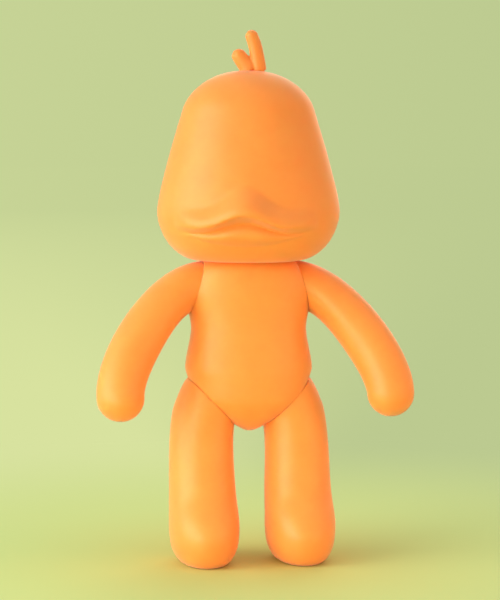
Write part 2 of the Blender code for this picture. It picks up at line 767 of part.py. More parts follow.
def leg_sections():
    """Flat sole, a round-edged foot that reaches forward, a shin and a top that leans to the hip."""
    hip = hip_centre(LEFT)
    high_x, high_z = face_end(hip, -HIP_TILT, HIP_FACE_RADIUS, 1)
    foot_middle = (HEEL_REACH - TOE_REACH) / 2
    foot_depth = (HEEL_REACH + TOE_REACH) / 2
    shin = (INSTEP_HEIGHT + HIP_HEIGHT) / 2
    shin_width = (FOOT_WIDTH + THIGH_WIDTH) / 2
    lean = LEG_SPREAD + (HIP_SPREAD - LEG_SPREAD) / 4
    cap = high_x - HIP_CAP_WIDTH
    sections = [(0.0, LEG_SPREAD, foot_middle, 0.0, 0.0)]
    for share in (0.5, 1.0):
        width, depth = (FOOT_WIDTH - SOLE_EDGE) * share, (foot_depth - SOLE_EDGE) * share
        sections.append((0.0, LEG_SPREAD, foot_middle, width, depth))
    for step in (1, 2, 3):
        angle = step * math.pi / 6
        rise, inset = SOLE_RISE * (1 - math.cos(angle)), SOLE_EDGE * (1 - math.sin(angle))
        sections.append((rise, LEG_SPREAD, foot_middle, FOOT_WIDTH - inset, foot_depth - inset))
    sections += [
        (FOOT_HEIGHT, LEG_SPREAD, -FOOT_TOP_FORWARD, FOOT_WIDTH, FOOT_TOP_DEPTH),
        (INSTEP_HEIGHT, LEG_SPREAD, -INSTEP_FORWARD, shin_width, INSTEP_DEPTH),
        (shin, LEG_SPREAD, -KNEE_FORWARD, THIGH_WIDTH, THIGH_DEPTH),
        (HIP_HEIGHT - HIP_FACE_RADIUS / 2, lean, 0.0, THIGH_WIDTH, THIGH_DEPTH),
        (HIP_HEIGHT, HIP_SPREAD + HIP_LEAN, 0.0, HIP_FACE_RADIUS, HIP_FACE_RADIUS),
        (high_z, cap, 0.0, HIP_CAP_WIDTH, HIP_CAP_WIDTH),
        (high_z + HIP_CAP_RISE, cap - HIP_CAP_LEAN, 0.0, 0.0, 0.0),
    ]
    return [(z - hip.z, across - hip.x, *rest) for z, across, *rest in sections]


def leg_form(side, facets, inset):
    bm = stacked_form(pole_curve(leg_sections()), facets, LEG_SQUARENESS, inset, side)
    flatten_below(bm, inset - HIP_HEIGHT)
    axis = side_axis(side, -HIP_TILT)
    cut_flat(bm, axis * (SEAM + inset), -axis)
    return bm


def build_leg(side, name):
    pivot = new_pivot(f"{name}_hip_pivot", hip_centre(side))
    frame = axis_frame((0, 0, 0), side_axis(side, -HIP_TILT))
    mesh = finish_mesh(f"{name}_leg_shell", leg_form(side, LEG_FACETS, 0.0))
    shell = add_object(f"{name}_leg_shell", mesh, pivot, parts, vinyl)
    hollow(shell, f"{name}_leg", leg_form(side, LEG_HOLLOW_FACETS, WALL), pivot)
    apply_boolean(shell, drill(f"{name}_leg_hole", frame, hip_size.limb_hole, pivot))
    return pivot, frame


# Assembly

def join_to_torso(name, size, frame, limb_pivot, torso_pivot, torso_shell):
    offset = Matrix.Translation(limb_pivot.location - torso_centre)
    on_torso = offset @ frame
    apply_boolean(torso_shell, drill(f"{name}_torso_hole", on_torso, size.torso_hole, torso_pivot))
    add_swivel(name, size, on_torso, torso_pivot, frame, limb_pivot)


def centre_on_floor():
    """Moves the figure sideways so that the origin is at the middle of its outer box."""
    bpy.context.view_layer.update()
    graph = bpy.context.evaluated_depsgraph_get()
    points = []
    for obj in parts.objects:
        if obj.type == "MESH":
            solid = obj.evaluated_get(graph).to_mesh()
            points += [obj.matrix_world @ vert.co for vert in solid.vertices]
    for axis in (0, 1):
        reach = [point[axis] for point in points]
        for pivot in parts.objects:
            if pivot.parent is None:
                pivot.location[axis] -= (min(reach) + max(reach)) / 2


def main():
    torso_pivot, torso_shell = build_torso()
    join_to_torso("neck", neck_size, local_neck, build_head(), torso_pivot, torso_shell)
    for side, name in ((RIGHT, "right"), (LEFT, "left")):
        pivot, frame = build_arm(side, name)
        join_to_torso(f"{name}_shoulder", shoulder_size, frame, pivot, torso_pivot, torso_shell)
        pivot, frame = build_leg(side, name)
        join_to_torso(f"{name}_hip", hip_size, frame, pivot, torso_pivot, torso_shell)
    centre_on_floor()


main()
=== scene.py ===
import json
import math

import bmesh
import bpy
from mathutils import Matrix, Vector


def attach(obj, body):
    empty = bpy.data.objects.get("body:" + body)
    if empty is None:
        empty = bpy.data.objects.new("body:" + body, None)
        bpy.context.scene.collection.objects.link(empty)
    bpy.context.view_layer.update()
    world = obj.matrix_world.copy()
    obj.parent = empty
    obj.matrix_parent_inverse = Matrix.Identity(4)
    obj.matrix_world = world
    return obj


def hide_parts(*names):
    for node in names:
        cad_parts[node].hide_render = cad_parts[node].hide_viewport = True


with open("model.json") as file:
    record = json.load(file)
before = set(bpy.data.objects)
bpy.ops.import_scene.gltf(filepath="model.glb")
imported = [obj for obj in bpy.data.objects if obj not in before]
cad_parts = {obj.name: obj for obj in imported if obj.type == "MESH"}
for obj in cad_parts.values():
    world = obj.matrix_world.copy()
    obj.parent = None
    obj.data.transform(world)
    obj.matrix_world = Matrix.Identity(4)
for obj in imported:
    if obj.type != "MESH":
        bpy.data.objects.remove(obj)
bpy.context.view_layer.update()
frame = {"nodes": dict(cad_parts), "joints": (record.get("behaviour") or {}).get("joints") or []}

scene = bpy.context.scene
mm = 0.001
joints = {joint["name"]: joint for joint in frame["joints"]}
midLine = Vector((0, joints["head_swivel"]["pos_m"][1], 0))  # the figure's own axis, on the floor
sides = {"right": -1, "left": 1}
print("frame loaded:", len(frame["nodes"]), "nodes")


# small tools, all lengths in mm about the figure's own axis
meshing = {
    "weld": 0.001, "cut": 0.0001,  # how near two vertices, or a vertex and a cut, are taken as one
    "rimCuts": (0.1, 0.25, 0.45, 0.7, 1.0),  # rings on a softened rim, as shares of its depth
    "rimSlack": 0.01,  # how far off the joint face's plane its rim may lie
    "rimReach": 1.25,  # what is softened, in radii of the face
    "sharp": 40,  # degrees
    "wallClamp": 1.5,  # thins the wall at the rims, so that the inside stays behind the joint face
}


def jointPlace(name):  # a swivel's centre, and its axis pointing out of the torso
    joint = joints[name]
    centre = (Vector(joint["pos_m"]) - midLine) / mm
    axis = Vector(joint["axis"])
    return centre, -axis if axis.x * centre.x < 0 else axis


def ease(f):  # 0 to 1, level at both ends
    return f * f * (3 - 2 * f)


def smoothCurve(points):  # 0..1 along a smooth line through the points
    points = [Vector(point) for point in points]
    knots = [0.0]
    for before, after in zip(points, points[1:]):
        knots.append(knots[-1] + (after - before).length)

    def slope(i):
        low, high = max(i - 1, 0), min(i + 1, len(points) - 1)
        return (points[high] - points[low]) / (knots[high] - knots[low])

    def at(t):
        length = t * knots[-1]
        i = next((k for k in range(len(points) - 2) if length <= knots[k + 1]), len(points) - 2)
        span = knots[i + 1] - knots[i]
        f = (length - knots[i]) / span
        start = (2 * f**3 - 3 * f**2 + 1) * points[i] + (f**3 - 2 * f**2 + f) * span * slope(i)
        end = (3 * f**2 - 2 * f**3) * points[i + 1] + (f**3 - f**2) * span * slope(i + 1)
        return start + end

    return at


def poleCurve(sections):  # (height, across, back, half width, half depth), a round pole at each end
    first, last = sections[1], sections[-2]
    before = (*first[:3], -first[3], -first[4])
    after = (*last[:3], -last[3], -last[4])
    points = [before, *sections, after]
    lengths = [(Vector(b) - Vector(a)).length for a, b in zip(points, points[1:])]
    low, high = lengths[0] / sum(lengths), 1 - lengths[-1] / sum(lengths)
    whole = smoothCurve(points)
    return lambda t: whole(low + (high - low) * t)


def ballGrid(rings, segments):  # a ball, with each vertex's share of the way up and its bearing
    bm = bmesh.new()
    bmesh.ops.create_uvsphere(bm, u_segments=segments, v_segments=rings, radius=1.0)
    places = []
    for vert in bm.verts:
        height = math.acos(max(-1.0, min(1.0, -vert.co.z))) / math.pi
        places.append((vert, height, math.atan2(vert.co.y, vert.co.x)))
    return bm, places


def squared(value, squareness):
    return math.copysign(abs(value) ** (2 / squareness), value)


def stackedForm(at, rings, segments, squareness, side=1, bearing=None):  # a ball drawn out to sections
    bm, places = ballGrid(rings, segments)
    levels = {}
    for vert, t, angle in places:
        key = round(t, 5)
        if key not in levels:
            levels[key] = at(t)
        z, across, back, width, depth = levels[key]
        angle = bearing(angle) if bearing else angle
        x = across + max(width, 0) * squared(math.cos(angle), squareness)
        y = back + max(depth, 0) * squared(math.sin(angle), squareness)
        vert.co = (side * x, y, z)
    return bm


def fingerForm(line, rootRadius, tipRadius, rings, segments, level):  # a ball drawn out along a line
    bm, places = ballGrid(rings, segments)
    dome, root = 0.25, 0.97  # share of the rings on the tip's dome, and where the root closes
    step = 0.001
    for vert, t, angle in places:
        along, roll = 1.0, (1 - t / dome) * math.pi / 2
        if t >= dome:
            along, roll = max(0.0, 1 - (t - dome) / (root - dome)), 0.0
        tangent = (line(min(along + step, 1)) - line(max(along - step, 0))).normalized()
        across = level.cross(tangent).normalized()
        radius = rootRadius + (tipRadius - rootRadius) * along
        spread = radius * math.cos(roll) if t < root else radius * (1 - t) / (1 - root)
        around = across * math.cos(angle) + level * math.sin(angle)
        vert.co = line(along) + tangent * radius * math.sin(roll) + around * spread
    bmesh.ops.remove_doubles(bm, verts=bm.verts, dist=meshing["weld"])
    return bm


def cutAcross(bm, place, axis, clear=False):  # clear takes off what lies beyond
    everything = [*bm.verts, *bm.edges, *bm.faces]
    bmesh.ops.bisect_plane(
        bm, geom=everything, dist=meshing["cut"], plane_co=place, plane_no=axis, clear_outer=clear
    )


def openFace(bm, centre, axis, lip, hole):  # a flat joint face with a softened rim and a round hole
    axis = Vector(axis).normalized()
    cutAcross(bm, centre, axis, clear=True)
    for share in meshing["rimCuts"]:
        cutAcross(bm, centre - axis * lip * share, axis)
    rim = [
        edge for edge in bm.edges if edge.is_boundary
        and all(abs((vert.co - centre).dot(axis)) < meshing["rimSlack"] for vert in edge.verts)
    ]
    radius = max((vert.co - centre).length for edge in rim for vert in edge.verts)
    for vert in bm.verts:
        away = vert.co - centre
        depth = -away.dot(axis)
        if depth < lip and away.length < meshing["rimReach"] * radius:
            inward = -(away + axis * depth).normalized()
            turn = 1 - max(depth, 0.0) / lip
            vert.co += inward * lip * (1 - math.sqrt(1 - turn * turn))
    made = bmesh.ops.extrude_edge_only(bm, edges=rim)
    for vert in [item for item in made["geom"] if isinstance(item, bmesh.types.BMVert)]:
        away = vert.co - centre
        vert.co = centre + (away - axis * away.dot(axis)).normalized() * hole


def addPiece(name, bm, material, body, nodes, wall=None):
    place = Matrix.Translation(midLine) @ Matrix.Scale(mm, 4)
    bmesh.ops.transform(bm, matrix=place, verts=bm.verts)
    bmesh.ops.recalc_face_normals(bm, faces=bm.faces)
    mesh = bpy.data.meshes.new(name)
    bm.to_mesh(mesh)
    bm.free()
    mesh.shade_smooth()
    mesh.set_sharp_from_angle(angle=math.radians(meshing["sharp"]))
    piece = bpy.data.objects.new(name, mesh)
    scene.collection.objects.link(piece)
    mesh.materials.append(material)
    if wall:
        shell = piece.modifiers.new("Wall", "SOLIDIFY")
        shell.thickness = wall * mm
        shell.offset = -1.0
        shell.thickness_clamp = meshing["wallClamp"]
    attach(piece, body)
    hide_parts(*nodes)
    print("piece:", name, len(mesh.polygons), "faces")
    return piece


# materials

def hexColour(code):  # an sRGB hex value as linear colour
    channels = [int(code[i:i + 2], 16) / 255 for i in (1, 3, 5)]
    return [c / 12.92 if c <= 0.04045 else ((c + 0.055) / 1.055) ** 2.4 for c in channels] + [1.0]


def addNode(tree, kind, props=None, values=None, links=None):
    node = tree.nodes.new(kind)
    for name, value in (props or {}).items():
        setattr(node, name, value)
    for name, value in (values or {}).items():
        node.inputs[name].default_value = value
    for name, socket in (links or {}).items():
        tree.links.new(socket, node.inputs[name])
    return node


def newMaterial(name):
    material = bpy.data.materials.new(name)
    material.use_nodes = True
    tree = material.node_tree
    return material, tree, tree.nodes["Principled BSDF"]


vinylLook = {
    "deep": "#F9913A", "pale": "#FA9740", "tintRange": (0.3, 0.7),
    "mottle": 14.0, "mottleDetail": 3.0, "mottleRoughness": 0.5,  # mm, faint clouds of pigment
    "skin": 0.7, "skinDetail": 2.0,  # mm, the mould's blasted grain, drawn coarser than it is to show
    "grain": 0.03, "grainStrength": 0.35,  # mm, how deep that grain seems
    "roughness": (0.45, 0.55), "ior": 1.53, "sheen": 0.25,
    "bleed": 2.5, "bleedColour": (1.0, 0.25, 0.08), "bleedShare": 0.6,  # mm that light travels in the wall
}


def rotocastVinyl():  # soft PVC from a spun mould: satin, a little waxy, light bleeds round its edges
    material, tree, shader = newMaterial("rotocast_soft_pvc")
    place = addNode(tree, "ShaderNodeTexCoord").outputs["Object"]
    clouds = addNode(
        tree, "ShaderNodeTexNoise", {},
        {
            "Scale": 1 / (vinylLook["mottle"] * mm),
            "Detail": vinylLook["mottleDetail"],
            "Roughness": vinylLook["mottleRoughness"],
        },
        {"Vector": place},
    )
    tint = addNode(tree, "ShaderNodeValToRGB", links={"Fac": clouds.outputs["Fac"]})
    stops = zip(tint.color_ramp.elements, vinylLook["tintRange"], (vinylLook["deep"], vinylLook["pale"]))
    for stop, position, colour in stops:
        stop.position = position
        stop.color = hexColour(colour)
    tree.links.new(tint.outputs["Color"], shader.inputs["Base Color"])
    low, high = vinylLook["roughness"]
    polish = addNode(
        tree, "ShaderNodeMapRange", {}, {"To Min": low, "To Max": high}, {"Value": clouds.outputs["Fac"]}
    )
    tree.links.new(polish.outputs["Result"], shader.inputs["Roughness"])
    grain = addNode(
        tree, "ShaderNodeTexNoise", {},
        {"Scale": 1 / (vinylLook["skin"] * mm), "Detail": vinylLook["skinDetail"]}, {"Vector": place},
    )
    bump = addNode(
        tree, "ShaderNodeBump", {},
        {"Strength": vinylLook["grainStrength"], "Distance": vinylLook["grain"] * mm},
        {"Height": grain.outputs["Fac"]},
    )
    tree.links.new(bump.outputs["Normal"], shader.inputs["Normal"])
    shader.inputs["IOR"].default_value = vinylLook["ior"]
    shader.inputs["Sheen Weight"].default_value = vinylLook["sheen"]
    shader.subsurface_method = "BURLEY"
    shader.inputs["Subsurface Weight"].default_value = vinylLook["bleedShare"]
    shader.inputs["Subsurface Radius"].default_value = vinylLook["bleedColour"]
    shader.inputs["Subsurface Scale"].default_value = vinylLook["bleed"] * mm
    return material


plasticLook = {"dark": "#BDB8AE", "pale": "#CFCBC2", "patch": 6.0, "roughness": 0.45}  # mm, flow marks
rubberLook = {"dark": "#232326", "pale": "#34343A", "patch": 1.5, "roughness": 0.8}  # mm, dusty bloom
patchDetail = 4.0


def mouldedPart(name, look):  # a clean moulding with faint flow marks, or a dusty soft ring
    material, tree, shader = newMaterial(name)
    place = addNode(tree, "ShaderNodeTexCoord").outputs["Object"]
    marks = addNode(
        tree, "ShaderNodeTexNoise", {},
        {"Scale": 1 / (look["patch"] * mm), "Detail": patchDetail}, {"Vector": place},
    )
    tint = addNode(tree, "ShaderNodeValToRGB", links={"Fac": marks.outputs["Fac"]})
    tint.color_ramp.elements[0].color = hexColour(look["dark"])
    tint.color_ramp.elements[1].color = hexColour(look["pale"])
    tree.links.new(tint.outputs["Color"], shader.inputs["Base Color"])
    shader.inputs["Roughness"].default_value = look["roughness"]
    return material


vinyl = rotocastVinyl()
absPlastic = mouldedPart("moulded_abs", plasticLook)
nitrile = mouldedPart("moulded_nitrile_rubber", rubberLook)
for name, node in frame["nodes"].items():
    finish = vinyl
    if name.endswith("_ring"):
        finish = nitrile
    elif name.endswith(("_plug", "_bush")):
        finish = absPlastic
    node.data.materials.clear()
    node.data.materials.append(finish)
print("materials ready")


# shared by the castings, in mm
casting = {
    "wall": 2.2,
    "rim": 0.1, "limbRim": 0.2,  # softened edges of a joint face, on the torso and on the limb
    "seam": 0.05,  # gap between the two faces
}
holes = {"neck": (10.0, 8.1), "shoulder": (7.6, 5.7), "hip": (9.4, 7.5)}  # radii, in the torso and the limb


# torso
torso = {
    "drop": 14.6, "crotchDepth": 11.0, "seatDepth": 20.0,
    "bellyRise": 17.0, "bellyWidth": 30.6, "bellyDepth": 21.4,
    "waistRise": 34.5, "waistWidth": 27.7, "waistDepth": 19.6,
    "chestDepth": 19.2, "collarDepth": 16.5, "squareness": 2.4,
    "hipFace": 15.9, "shoulderFace": 12.6,  # joint face radii
    "neckPole": 5.0,  # the form's end above the neck's face, which cuts it off
    "rings": 110, "segments": 144,
}


def faceEnd(centre, axis, radius, way):  # where a joint face's outline ends, above or below
    along = Vector((-axis.z, 0, axis.x)) * way * radius
    return centre.x + along.x, centre.z + along.z


def widthAtFace(across, radius, depth):  # half width that makes a cut there two radii wide
    share = 1 - (radius / depth) ** torso["squareness"]
    return across / share ** (1 / torso["squareness"])


def buildTorso():
    hip, hipAxis = jointPlace("left_hip_swivel")
    shoulder, shoulderAxis = jointPlace("left_shoulder_swivel")
    neck, neckAxis = jointPlace("head_swivel")
    hipLow = faceEnd(hip, hipAxis, torso["hipFace"], -1)
    hipHigh = faceEnd(hip, hipAxis, torso["hipFace"], 1)
    hipWidth = widthAtFace(hip.x, torso["hipFace"], torso["seatDepth"])
    armLow = faceEnd(shoulder, shoulderAxis, torso["shoulderFace"], -1)
    armHigh = faceEnd(shoulder, shoulderAxis, torso["shoulderFace"], 1)
    armWidth = widthAtFace(shoulder.x, torso["shoulderFace"], torso["chestDepth"])
    outline = [
        (hip.z - torso["drop"], 0, 0),
        (hipLow[1], hipLow[0], torso["crotchDepth"]),
        (hip.z, hipWidth, torso["seatDepth"]),
        (hipHigh[1], hipHigh[0], torso["bellyDepth"]),
        (hip.z + torso["bellyRise"], torso["bellyWidth"], torso["bellyDepth"]),
        (hip.z + torso["waistRise"], torso["waistWidth"], torso["waistDepth"]),
        (armLow[1], armLow[0], torso["chestDepth"]),
        (shoulder.z, armWidth, torso["chestDepth"]),
        (armHigh[1], armHigh[0], torso["collarDepth"]),
        (neck.z + torso["neckPole"], 0, 0),
    ]
    curve = poleCurve([(z, 0, 0, width, depth) for z, width, depth in outline])
    bm = stackedForm(curve, torso["rings"], torso["segments"], torso["squareness"])
    openFace(bm, neck, neckAxis, casting["rim"], holes["neck"][0])
    for side in sides:
        for joint in ("shoulder", "hip"):
            centre, axis = jointPlace(f"{side}_{joint}_swivel")
            openFace(bm, centre, axis, casting["rim"], holes[joint][0])
    addPiece("torso_skin", bm, vinyl, "torso", ["torso_shell"], casting["wall"])


buildTorso()


# head and bill
head = {
    "turn": -11.5,  # degrees, towards the figure's right
    "baseWidth": 22.0, "cheekWidth": 43.75, "cheekDepth": 39.9, "cheekHeight": 25.0, "browWidth": 38.9,
    "crownWidth": 32.5, "crownHeight": 69.0, "height": 91.0, "domeTaper": 0.15, "domeFullness": 0.88,
    "squareness": 2.15,
    "trim": 0.02,  # off the flat base, to open it
    "rings": 170, "ringMiddle": 0.36, "ringCrowding": 0.6,  # more of them at the bill's height
    "segments": 200, "frontCrowding": 0.42,  # more of them at the front
}
bill = {
    "width": 34.0, "mouth": 19.0, "droop": 4.7, "lowPoint": 21.0, "turnUp": 1.2, "margin": 22.0,
    "endPower": 5,  # how suddenly it ends at either side
    "lobeReach": 5.4, "lobeTop": 13.0, "lobeUnder": 3.4,  # at either side: out, up, height of its underside
    "ridgeReach": 7.7, "ridgeTop": 19.0, "ridgeUnder": 5.0, "ridgeSpread": 12.0,
    "lowerReach": 3.0, "lowerFull": 9.0, "lowerPower": 1.2,  # the lower bill, full where it is this high
    "smile": 8.3, "smileEnd": 14.1, "corner": 29.0,  # its bottom edge
}


def headOutline():
    cheekSteps, domeSteps = 4, 5  # of a quarter turn each
    widths = [(0, 0), (0, head["baseWidth"] / 2), (0, head["baseWidth"])]
    for step in range(1, cheekSteps + 1):
        angle = step * math.pi / (2 * cheekSteps)
        width = head["baseWidth"] + (head["cheekWidth"] - head["baseWidth"]) * math.sin(angle)
        widths.append((head["cheekHeight"] * (1 - math.cos(angle)), width))
    widths.append(((head["cheekHeight"] + head["crownHeight"]) / 2, head["browWidth"]))
    for step in range(domeSteps + 1):
        angle = step * math.pi / (2 * domeSteps)
        rise = (head["height"] - head["crownHeight"]) * math.sin(angle)
        dome = max(math.cos(angle), 0.0) ** head["domeFullness"]
        widths.append((head["crownHeight"] + rise, (head["crownWidth"] - head["domeTaper"] * rise) * dome))
    flat = head["cheekDepth"] / head["cheekWidth"]
    return poleCurve([(z, 0, 0, width, width * flat) for z, width in widths])


def swell(distance, rise, fall):  # 0, then 1 at the rise, and back to 0 at the fall
    if distance <= 0 or distance >= fall:
        return 0.0
    if distance < rise:
        return ease(distance / rise)
    f = (distance - rise) / (fall - rise)
    return (1 - f * f) ** 2


def mouthLine(x):  # high in the middle, low on either side, turned up at the corners
    droop = bill["droop"] * math.sin(math.pi / 2 * min(abs(x) / bill["lowPoint"], 1.0)) ** 2
    past = max(abs(x) - bill["lowPoint"], 0.0) / (bill["width"] - bill["lowPoint"])
    return bill["mouth"] - droop + bill["turnUp"] * min(past, 1.0) ** 2


def smileLine(x):  # the lower bill's bottom edge
    return bill["smile"] + (bill["smileEnd"] - bill["smile"]) * (x / bill["corner"]) ** 2


def billRelief(x, z):  # how far the bill stands out of the face
    ends = max(1 - (abs(x) / bill["width"]) ** bill["endPower"], 0.0)
    middle = math.exp(-((x / bill["ridgeSpread"]) ** 2))
    reach, top, under = (
        bill["lobe" + part] + (bill["ridge" + part] - bill["lobe" + part]) * middle
        for part in ("Reach", "Top", "Under")
    )
    above = z - mouthLine(x)
    upper = ends * reach * swell(above, under, top)
    height = mouthLine(x) - smileLine(x)
    if height <= 0 or above >= 0 or -above >= height:
        return upper
    share = -above / height
    full = bill["lowerReach"] * min(height / bill["lowerFull"], 1.0)
    return upper + ends * full * (4 * share * (1 - share)) ** bill["lowerPower"]


def crowdToBill(t):
    middle, turn = head["ringMiddle"], 2 * math.pi
    return t - head["ringCrowding"] / turn * (math.sin(turn * (t - middle)) + math.sin(turn * middle))


def crowdToFront(angle):
    return angle - head["frontCrowding"] * math.cos(angle)


def buildHead():
    outline = headOutline()
    bm = stackedForm(
        lambda t: outline(crowdToBill(t)), head["rings"], head["segments"], head["squareness"],
        bearing=crowdToFront,
    )
    level = bill["mouth"] - bill["droop"] / 2
    for vert in bm.verts:
        x, y, z = vert.co
        if y < 0:
            front = min(1.0, -y / (head["cheekDepth"] / 2))
            reach = level if z < level else bill["margin"]
            z += front * (mouthLine(x) - level) * max(0.0, 1 - abs(z - level) / reach)
            vert.co = (x, y - front * billRelief(x, z), z)
        vert.co.z = max(vert.co.z, 0.0)
    openFace(bm, Vector((0, 0, head["trim"])), Vector((0, 0, -1)), casting["limbRim"], holes["neck"][1])
    neck, axis = jointPlace("head_swivel")
    turned = Matrix.Rotation(math.radians(head["turn"]), 4, "Z")
    place = Matrix.Translation(neck + axis * casting["seam"]) @ turned
    bmesh.ops.transform(bm, matrix=place, verts=bm.verts)
    addPiece("head_skin", bm, vinyl, "head", ["head_shell"], casting["wall"])
    return place


headPlace = buildHead()


# crest
crest = {
    "tall": ((5.1, -0.3), (4.5, 4.5), (3.1, 11.8), (1.6, 16.2)),  # across, above the crown
    "short": ((0.2, -0.3), (-0.3, 1.3), (-2.7, 4.4), (-4.5, 6.8)),
    "tallRadii": (3.6, 3.1), "shortRadii": (4.2, 3.5),  # at the root and the tip
    "sink": 2.0,  # roots below the crown
    "crownShare": 0.97,  # of the head's outline, where the crown's bowl is measured
    "rings": 40, "segments": 40,
    "voxel": 0.35, "softening": 12,  # the two tufts run into one another
}


def crownHeight(x, y):  # of the head's top, which is near a round bowl there
    z, _, _, width, depth = headOutline()(crest["crownShare"])
    return head["height"] - (head["height"] - z) * ((x / width) ** 2 + (y / depth) ** 2)


def buildCrest():
    whole = bmesh.new()
    for name in ("tall", "short"):
        line = smoothCurve([(x, 0, head["height"] + z) for x, z in crest[name]])
        root, tip = crest[name + "Radii"]
        tuft = fingerForm(line, root, tip, crest["rings"], crest["segments"], Vector((0, 1, 0)))
        for vert in tuft.verts:
            if vert.co.z < head["height"]:
                vert.co.z = crownHeight(vert.co.x, vert.co.y) - crest["sink"]
        mesh = bpy.data.meshes.new("tuft")
        tuft.to_mesh(mesh)
        tuft.free()
        whole.from_mesh(mesh)
        bpy.data.meshes.remove(mesh)
    bmesh.ops.transform(whole, matrix=headPlace, verts=whole.verts)
    piece = addPiece("crest_skin", whole, vinyl, "head", ["crest"])
    remesh = piece.modifiers.new("Fuse", "REMESH")
    remesh.mode = "VOXEL"
    remesh.voxel_size = crest["voxel"] * mm
    remesh.use_smooth_shade = True
    soften = piece.modifiers.new("Soften", "SMOOTH")
    soften.iterations = crest["softening"]


buildCrest()


# arms
arm = {
    "reach": 24.4, "drop": 63.9, "rootHandle": 19.0, "handHandle": 18.5,
    "rootDepth": 4.5, "rootLift": 1.0, "root": 12.6, "hand": 11.2, "swing": 23.5,
    "tuck": 0.25, "tuckReach": 14.0,  # the armpit, drawn in to the torso
    "rings": 110, "segments": 90,
}


def bezier(a, b, c, d):
    return lambda t: a * (1 - t) ** 3 + b * 3 * t * (1 - t) ** 2 + c * 3 * t**2 * (1 - t) + d * t**3


def buildArm(name):
    centre, axis = jointPlace(f"{name}_shoulder_swivel")
    ahead = Vector((0, -1, 0))
    swing = math.radians(arm["swing"])
    tilt = math.asin(axis.z)
    down = Vector((abs(axis.z) * sides[name], 0, -abs(axis.x)))
    hang = down * math.cos(swing) + ahead * math.sin(swing)
    plumb = hang * math.cos(tilt) - axis * math.sin(tilt)
    flat = axis * math.cos(tilt) + hang * math.sin(tilt)
    root = centre - axis * arm["rootDepth"] - hang * arm["rootLift"]
    hand = centre + axis * arm["reach"] + hang * arm["drop"]
    line = bezier(root, root + flat * arm["rootHandle"], hand - plumb * arm["handHandle"], hand)
    bm = fingerForm(line, arm["root"], arm["hand"], arm["rings"], arm["segments"], axis.cross(hang))
    for vert in bm.verts:
        low, out = (vert.co - centre).dot(hang), max((vert.co - centre).dot(axis), 0.0)
        if low > 0 and out < arm["tuckReach"]:
            vert.co -= hang * low * arm["tuck"] * ease(1 - out / arm["tuckReach"])
    openFace(bm, centre + axis * casting["seam"], -axis, casting["limbRim"], holes["shoulder"][1])
    shell = f"{name}_arm_shell"
    addPiece(f"{name}_arm_skin", bm, vinyl, f"{name}_arm", [shell], casting["wall"])


for name in sides:
    buildArm(name)


# legs
leg = {
    "spread": 23.3, "thighWidth": 15.3, "thighDepth": 16.2, "face": 15.9,
    "hipLean": 1.1, "capWidth": 11.9, "capLean": 1.6, "capRise": 8.0,  # the top, which leans to the hip
    "kneeForward": 1.5, "instepHeight": 34.0, "instepForward": 4.9, "instepDepth": 19.0,
    "footWidth": 16.5, "footHeight": 22.0, "footForward": 10.4, "footDepth": 23.0,
    "toe": 36.0, "heel": 13.5, "soleEdge": 8.0, "soleRise": 15.0, "squareness": 2.2,
    "rings": 120, "segments": 110,
}


def legOutline(hip, axis):
    highX, highZ = faceEnd(hip, axis, leg["face"], 1)
    across, width = leg["spread"], leg["footWidth"]
    middle, depth = (leg["heel"] - leg["toe"]) / 2, (leg["heel"] + leg["toe"]) / 2
    cap = highX - leg["capWidth"]
    sections = [(0, across, middle, 0, 0)]
    for share in (0.5, 1.0):
        sole = (width - leg["soleEdge"]) * share, (depth - leg["soleEdge"]) * share
        sections.append((0, across, middle, *sole))
    edgeSteps = 3  # of a quarter turn
    for step in range(1, edgeSteps + 1):
        angle = step * math.pi / (2 * edgeSteps)
        inset = leg["soleEdge"] * (1 - math.sin(angle))
        rise = leg["soleRise"] * (1 - math.cos(angle))
        sections.append((rise, across, middle, width - inset, depth - inset))
    instepWidth, shin = (width + leg["thighWidth"]) / 2, (leg["instepHeight"] + hip.z) / 2
    lean = across + (hip.x - across) / 4
    return poleCurve(sections + [
        (leg["footHeight"], across, -leg["footForward"], width, leg["footDepth"]),
        (leg["instepHeight"], across, -leg["instepForward"], instepWidth, leg["instepDepth"]),
        (shin, across, -leg["kneeForward"], leg["thighWidth"], leg["thighDepth"]),
        (hip.z - leg["face"] / 2, lean, 0, leg["thighWidth"], leg["thighDepth"]),
        (hip.z, hip.x + leg["hipLean"], 0, leg["face"], leg["face"]),
        (highZ, cap, 0, leg["capWidth"], leg["capWidth"]),
        (highZ + leg["capRise"], cap - leg["capLean"], 0, 0, 0),
    ])


def buildLeg(name):
    centre, axis = jointPlace(f"{name}_hip_swivel")
    outline = legOutline(*jointPlace("left_hip_swivel"))
    bm = stackedForm(outline, leg["rings"], leg["segments"], leg["squareness"], sides[name])
    for vert in bm.verts:
        vert.co.z = max(vert.co.z, 0.0)
    openFace(bm, centre + axis * casting["seam"], -axis, casting["limbRim"], holes["hip"][1])
    shell = f"{name}_leg_shell"
    addPiece(f"{name}_leg_skin", bm, vinyl, f"{name}_leg", [shell], casting["wall"])


for name in sides:
    buildLeg(name)


# stage, in metres
stage = {
    "paper": "#C9E096", "roughness": 0.9, "shine": 0.1,
    "glow": "#FFE2BC", "paintedBounceSize": 0.16,  # painted warm bounce light and shade from the figure: the paper is tinted warmer round the feet
    "left": "#D8E29F", "right": "#BCCA90", "turn": (0.35, -0.05),  # what lies behind, by its direction, with painted light: lighter on the key lamp's side
    "near": 0.7, "far": 4.0, "farShare": 0.4,  # painted falloff of the key's light: the left's colour wanes from near to far
    "fade": (0.1, 0.4),  # where the paper turns into what lies behind
    "reach": 8.0, "segments": 96,
}


